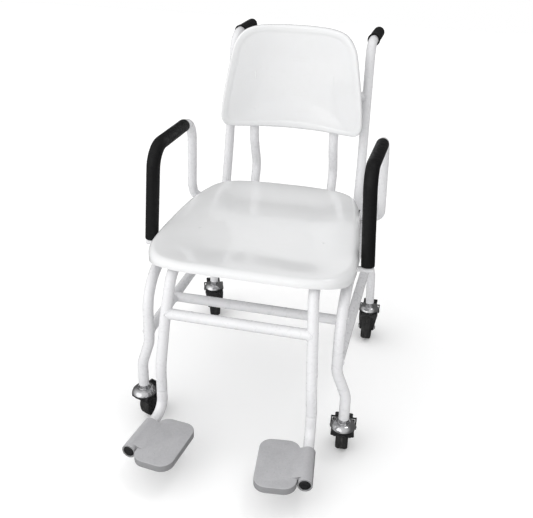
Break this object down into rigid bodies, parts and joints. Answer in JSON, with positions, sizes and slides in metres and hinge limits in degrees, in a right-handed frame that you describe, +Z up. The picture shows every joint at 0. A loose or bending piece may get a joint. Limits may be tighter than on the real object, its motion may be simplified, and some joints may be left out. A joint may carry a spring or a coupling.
{
  "type": "castored chair scale",
  "caption": "White tube-frame chair scale on braked castors, with moulded seat, lifting armrests, folding footplates and a rear read-out.",
  "frame": {"origin": "on the floor, under the middle of the whole chair, 6 mm to the right of the plane of symmetry of its frame, because its castors stand unevenly", "axes": "+Z up; the sitter faces -Y, so the push grips point along +Y; the sitter's left side is +X"},
  "size_m": [0.5777, 1.0052, 0.9215],
  "materials": {
    "white_paint": "satin powder coat",
    "white_shell": "gloss",
    "black_foam": "matt foam",
    "black_plastic": "satin",
    "black_rubber": "matt",
    "grey_plate": "matt, dimpled tread",
    "chrome": "polished",
    "steel": "zinc plated",
    "aluminium": "milled",
    "display_case": "fine texture",
    "display_glass": "gloss",
    "key_rubber": "matt"
  },
  "bodies": {
    "frame": {"front_leg_tube_left": "white_paint", "rear_upright_left": "white_paint", "lower_rail_left": "white_paint", "foot_frame_tube_left": "white_paint", "foot_elbow_left": "white_paint", "back_tube_left": "white_paint", "push_grip_left": "black_foam", "foot_tube_plug_left": "black_plastic", "front_leg_tube_right": "white_paint", "rear_upright_right": "white_paint", "lower_rail_right": "white_paint", "foot_frame_tube_right": "white_paint", "foot_elbow_right": "white_paint", "back_tube_right": "white_paint", "push_grip_right": "black_foam", "foot_tube_plug_right": "black_plastic", "lower_crossbar": "white_paint", "push_crossbar": "white_paint", "chassis_beam": "white_paint", "foot_crossbar": "white_paint", "armrest_rest_bar": "white_paint", "armrest_pivot_tube": "white_paint", "seat_frame_plate": "white_paint", "seat_shell": "white_shell", "backrest_shell": "white_shell", "load_cell": "aluminium", "load_cell_cable": "black_plastic", "display_bracket": "black_plastic", "display_case": "display_case", "display_window": "display_glass", "castor_stem_front_left": "chrome", "castor_stem_front_right": "chrome", "castor_stem_rear_left": "chrome", "castor_stem_rear_right": "chrome"},
    "armrest_left": {"armrest_tube_left": "white_paint", "armrest_pad_left": "black_foam"},
    "armrest_right": {"armrest_tube_right": "white_paint", "armrest_pad_right": "black_foam"},
    "footrest_left": {"footplate_left": "grey_plate"},
    "footrest_right": {"footplate_right": "grey_plate"},
    "castor_front_left": {"castor_fork_front_left": "black_plastic", "castor_axle_front_left": "steel"},
    "wheel_front_left": {"castor_wheel_front_left": "black_rubber"},
    "brake_front_left": {"brake_pedal_front_left": "black_plastic"},
    "castor_front_right": {"castor_fork_front_right": "black_plastic", "castor_axle_front_right": "steel"},
    "wheel_front_right": {"castor_wheel_front_right": "black_rubber"},
    "brake_front_right": {"brake_pedal_front_right": "black_plastic"},
    "castor_rear_left": {"castor_fork_rear_left": "black_plastic", "castor_axle_rear_left": "steel"},
    "wheel_rear_left": {"castor_wheel_rear_left": "black_rubber"},
    "brake_rear_left": {"brake_pedal_rear_left": "black_plastic"},
    "castor_rear_right": {"castor_fork_rear_right": "black_plastic", "castor_axle_rear_right": "steel"},
    "wheel_rear_right": {"castor_wheel_rear_right": "black_rubber"},
    "brake_rear_right": {"brake_pedal_rear_right": "black_plastic"},
    "key_left": {"display_key_left": "key_rubber"},
    "key_middle": {"display_key_middle": "key_rubber"},
    "key_right": {"display_key_right": "key_rubber"}
  },
  "joints": [
    {"name": "armrest_left_lift", "type": "hinge", "parent": "frame", "child": "armrest_left", "pos_m": [0.2058, 0.1699, 0.4435], "axis": [-1, 0, 0], "range_deg": [0, 95]},
    {"name": "armrest_right_lift", "type": "hinge", "parent": "frame", "child": "armrest_right", "pos_m": [-0.1942, 0.1699, 0.4435], "axis": [-1, 0, 0], "range_deg": [0, 95]},
    {"name": "footplate_left_fold", "type": "hinge", "parent": "frame", "child": "footrest_left", "pos_m": [0.1908, -0.3616, 0.081], "axis": [-0.116, 0.9932, 0], "range_deg": [0, 90]},
    {"name": "footplate_right_fold", "type": "hinge", "parent": "frame", "child": "footrest_right", "pos_m": [-0.1792, -0.3616, 0.081], "axis": [-0.116, -0.9932, 0], "range_deg": [0, 90]},
    {"name": "castor_front_left_swivel", "type": "hinge", "parent": "frame", "child": "castor_front_left", "pos_m": [0.2548, -0.2621, 0.08], "axis": [0, 0, 1], "continuous": true},
    {"name": "wheel_front_left_roll", "type": "hinge", "parent": "castor_front_left", "child": "wheel_front_left", "pos_m": [0.25271, -0.23217, 0.03718], "axis": [-0.9976, -0.0698, 0], "continuous": true},
    {"name": "brake_front_left_press", "type": "hinge", "parent": "castor_front_left", "child": "brake_front_left", "pos_m": [0.25348, -0.24315, 0.068], "axis": [-0.9976, -0.0698, 0], "range_deg": [0, 8]},
    {"name": "castor_front_right_swivel", "type": "hinge", "parent": "frame", "child": "castor_front_right", "pos_m": [-0.2432, -0.2621, 0.08], "axis": [0, 0, 1], "continuous": true},
    {"name": "wheel_front_right_roll", "type": "hinge", "parent": "castor_front_right", "child": "wheel_front_right", "pos_m": [-0.23196, -0.23428, 0.03718], "axis": [-0.9272, 0.3746, 0], "continuous": true},
    {"name": "brake_front_right_press", "type": "hinge", "parent": "castor_front_right", "child": "brake_front_right", "pos_m": [-0.23608, -0.24448, 0.068], "axis": [-0.9272, 0.3746, 0], "range_deg": [0, 8]},
    {"name": "castor_rear_left_swivel", "type": "hinge", "parent": "frame", "child": "castor_rear_left", "pos_m": [0.2578, 0.3059, 0.08], "axis": [0, 0, 1], "continuous": true},
    {"name": "wheel_rear_left_roll", "type": "hinge", "parent": "castor_rear_left", "child": "wheel_rear_left", "pos_m": [0.2578, 0.2759, 0.03718], "axis": [1, 0, 0], "continuous": true},
    {"name": "brake_rear_left_press", "type": "hinge", "parent": "castor_rear_left", "child": "brake_rear_left", "pos_m": [0.2578, 0.3249, 0.068], "axis": [-1, 0, 0], "range_deg": [0, 8]},
    {"name": "castor_rear_right_swivel", "type": "hinge", "parent": "frame", "child": "castor_rear_right", "pos_m": [-0.2462, 0.3059, 0.08], "axis": [0, 0, 1], "continuous": true},
    {"name": "wheel_rear_right_roll", "type": "hinge", "parent": "castor_rear_right", "child": "wheel_rear_right", "pos_m": [-0.23496, 0.27808, 0.03718], "axis": [0.9272, 0.3746, 0], "continuous": true},
    {"name": "brake_rear_right_press", "type": "hinge", "parent": "castor_rear_right", "child": "brake_rear_right", "pos_m": [-0.25332, 0.32352, 0.068], "axis": [-0.9272, -0.3746, 0], "range_deg": [0, 8]},
    {"name": "key_left_press", "type": "slide", "parent": "frame", "child": "key_left", "axis": [0, -0.9397, -0.342], "range_m": [0, 0.0015]},
    {"name": "key_middle_press", "type": "slide", "parent": "frame", "child": "key_middle", "axis": [0, -0.9397, -0.342], "range_m": [0, 0.0015]},
    {"name": "key_right_press", "type": "slide", "parent": "frame", "child": "key_right", "axis": [0, -0.9397, -0.342], "range_m": [0, 0.0015]}
  ]
}
